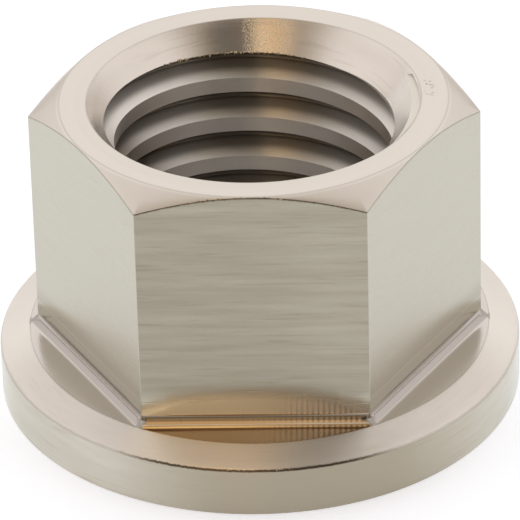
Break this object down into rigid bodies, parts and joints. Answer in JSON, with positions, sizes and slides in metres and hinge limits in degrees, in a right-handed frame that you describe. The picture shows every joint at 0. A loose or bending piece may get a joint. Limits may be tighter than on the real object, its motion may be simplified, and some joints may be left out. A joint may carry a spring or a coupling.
{
  "type": "hexagon collar nut",
  "caption": "Tall hexagon nut with a coarse right-hand thread, a deep countersink and a wide round collar under milled flats.",
  "frame": {"origin": "on the thread's axis, in the bearing face under the collar", "axes": "+Z along the thread's axis from the bearing face to the top of the hexagon; two corners of the hexagon lie on X and two of its flats face along Y"},
  "size_m": [0.023, 0.023, 0.014],
  "materials": {
    "machined_steel": "bare stainless steel, fine turned and milled, satin"
  },
  "bodies": {
    "root": {"collar_nut": "machined_steel"}
  },
  "joints": []
}
